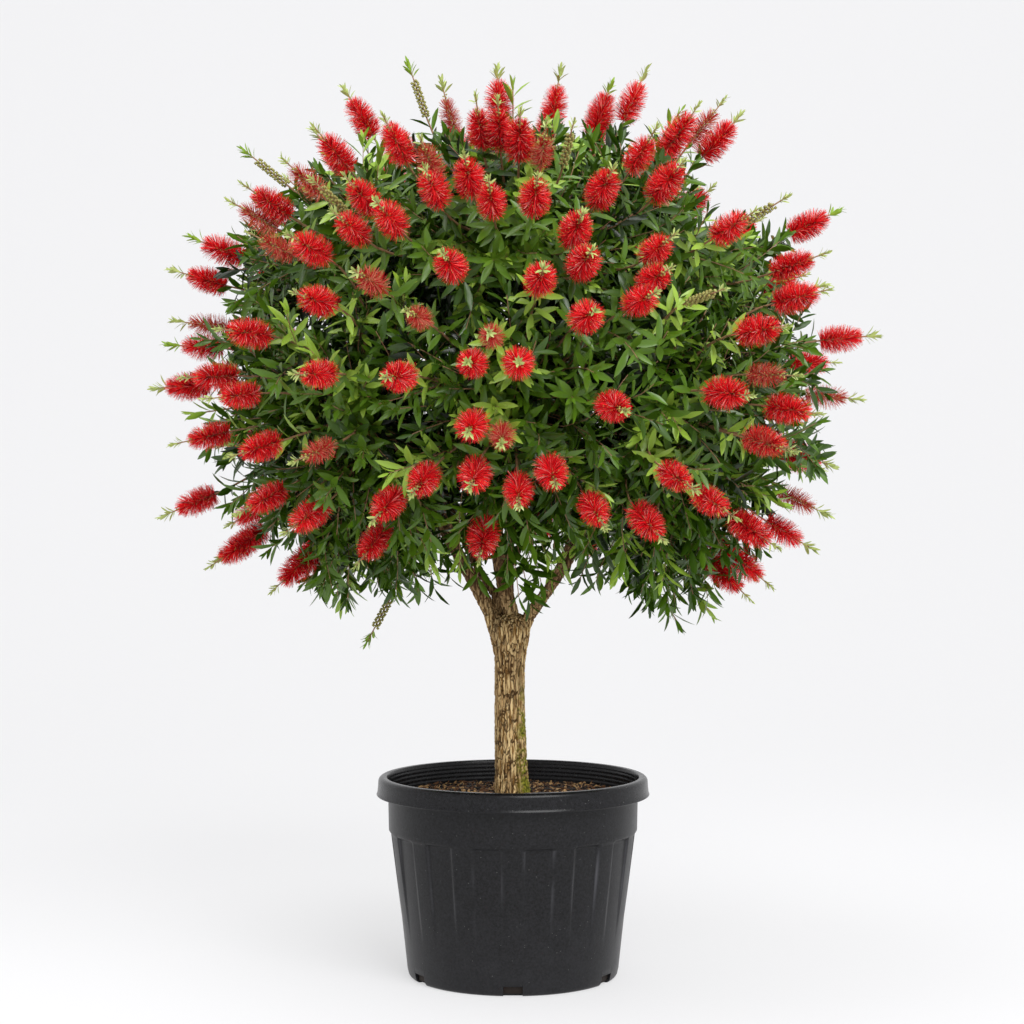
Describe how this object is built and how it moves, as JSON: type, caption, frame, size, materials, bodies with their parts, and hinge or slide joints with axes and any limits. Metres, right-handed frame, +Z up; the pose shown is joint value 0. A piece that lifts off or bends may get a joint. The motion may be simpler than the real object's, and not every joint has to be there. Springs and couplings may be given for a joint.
{
  "type": "potted bottlebrush plant",
  "caption": "Flowering shrub grown as a standard: a round head of narrow leaves and red brush-like flowers on one clear trunk that forks into boughs, in a fluted nursery pot.",
  "frame": {"origin": "middle of the pot's flat underside", "axes": "+Z up along the trunk, -Y towards the front, +X to the right seen from the front"},
  "size_m": [1.3521, 1.2847, 1.6867],
  "materials": {
    "pot_plastic": "black recycled polypropylene, fine grain, satin rim",
    "bark_mix": "moist composted bark chips",
    "trunk_bark": "tan bark in upright plates, a little moss",
    "limb_bark": "grey-brown bark",
    "foliage": "narrow green leaves on tan twigs, with red brush flowers"
  },
  "bodies": {
    "root": {"pot": "pot_plastic", "potting_mix": "bark_mix", "trunk": "trunk_bark", "bough_centre": "limb_bark", "bough_left": "limb_bark", "bough_rear": "limb_bark", "bough_right": "limb_bark", "foliage_lower_front": "foliage", "foliage_lower_front_left": "foliage", "foliage_lower_front_right": "foliage", "foliage_lower_left": "foliage", "foliage_lower_rear": "foliage", "foliage_lower_rear_left": "foliage", "foliage_lower_rear_right": "foliage", "foliage_lower_right": "foliage", "foliage_top": "foliage", "foliage_upper_front": "foliage", "foliage_upper_left": "foliage", "foliage_upper_rear_left": "foliage", "foliage_upper_rear_right": "foliage", "foliage_upper_right": "foliage", "limb_front": "limb_bark", "limb_front_left": "limb_bark", "limb_front_right": "limb_bark", "limb_rear": "limb_bark", "limb_rear_left": "limb_bark", "limb_rear_right": "limb_bark", "limb_upper_front": "limb_bark", "limb_upper_left": "limb_bark", "limb_upper_rear": "limb_bark", "limb_upper_right": "limb_bark"}
  },
  "joints": []
}
